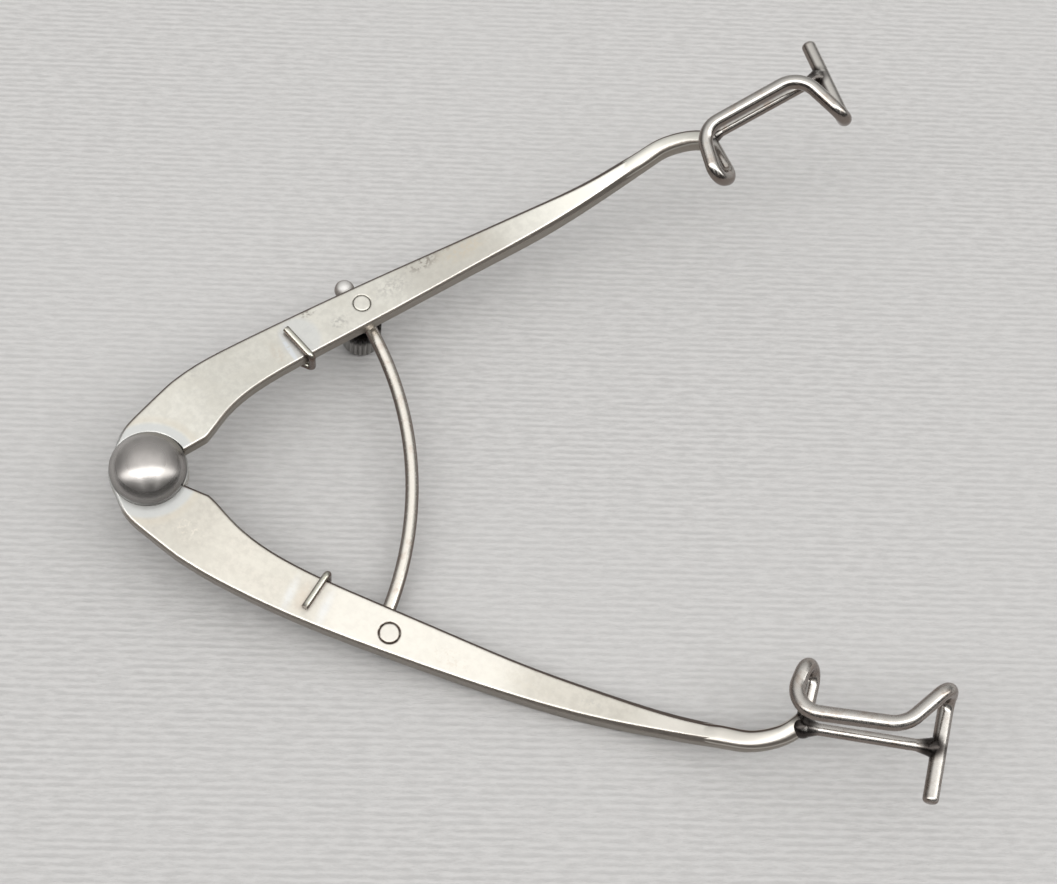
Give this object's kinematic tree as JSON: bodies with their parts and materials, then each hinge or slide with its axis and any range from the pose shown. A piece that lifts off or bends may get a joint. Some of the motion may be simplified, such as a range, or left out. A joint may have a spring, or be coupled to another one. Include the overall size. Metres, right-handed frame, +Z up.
{
  "type": "eye speculum",
  "caption": "Wire eye speculum: two pivoted flat arms with open wire blades, a spreading spring and a curved bow locked by a knurled thumb screw.",
  "frame": {"origin": "bottom centre of the bounding box of the open instrument as it lies on a level surface", "axes": "+X from the pivot towards the blades along the line between the arms, +Y towards the arm that the spring holds up, +Z up from the surface"},
  "size_m": [0.0774, 0.08, 0.0232],
  "materials": {
    "satin_steel": "fine satin with a warm cast, buffed bright on the bevels",
    "polished_steel": "polished, brown stain along the wires' edges",
    "dome_steel": "fine polish, slightly blurred reflections",
    "spring_wire": "drawn wire, slightly dull",
    "knurled_steel": "turned and straight-knurled"
  },
  "bodies": {
    "upper_arm_body": {"upper_arm": "satin_steel", "pivot_rivet": "dome_steel", "pivot_sleeve": "dome_steel", "pivot_washer": "dome_steel", "torsion_spring": "spring_wire", "upper_blade": "polished_steel", "upper_cross_bar": "polished_steel"},
    "lower_arm_body": {"lower_arm": "satin_steel", "bow_rivet": "satin_steel", "lower_blade": "polished_steel", "lower_cross_bar": "polished_steel"},
    "bow_body": {"bow": "polished_steel", "bow_stop_ball": "polished_steel"},
    "post_body": {"swivel_post": "polished_steel"},
    "screw_body": {"thumb_screw": "knurled_steel"}
  },
  "joints": [
    {"name": "arm_hinge", "type": "hinge", "parent": "upper_arm_body", "child": "lower_arm_body", "pos_m": [-0.03485, 0.00083, 0.00812], "axis": [0.0164, -0.1414, 0.9898], "range_deg": [-1.5, 43], "stiffness_Nm_per_rad": 0.02, "springref_deg": -34.38, "deforming": ["torsion_spring"]},
    {"name": "bow_hinge", "type": "hinge", "parent": "lower_arm_body", "child": "bow_body", "pos_m": [-0.0129, -0.01598, 0.00137], "axis": [0.0164, -0.1414, 0.9898], "range_deg": [-9.2, 0.6]},
    {"name": "post_swivel", "type": "hinge", "parent": "upper_arm_body", "child": "post_body", "pos_m": [-0.0129, 0.01886, 0.00635], "axis": [0.0164, -0.1414, 0.9898], "range_deg": [-0.5, 5.4]},
    {"name": "screw_turn", "type": "hinge", "parent": "post_body", "child": "screw_body", "pos_m": [-0.0129, 0.01886, 0.00635], "axis": [0.0164, -0.1414, 0.9898], "range_deg": [0, 360]}
  ],
  "couplings": [
    {"joint": "bow_hinge", "follows": "arm_hinge", "ratio": -0.20043},
    {"joint": "post_swivel", "follows": "arm_hinge", "ratio": 0.11248}
  ]
}
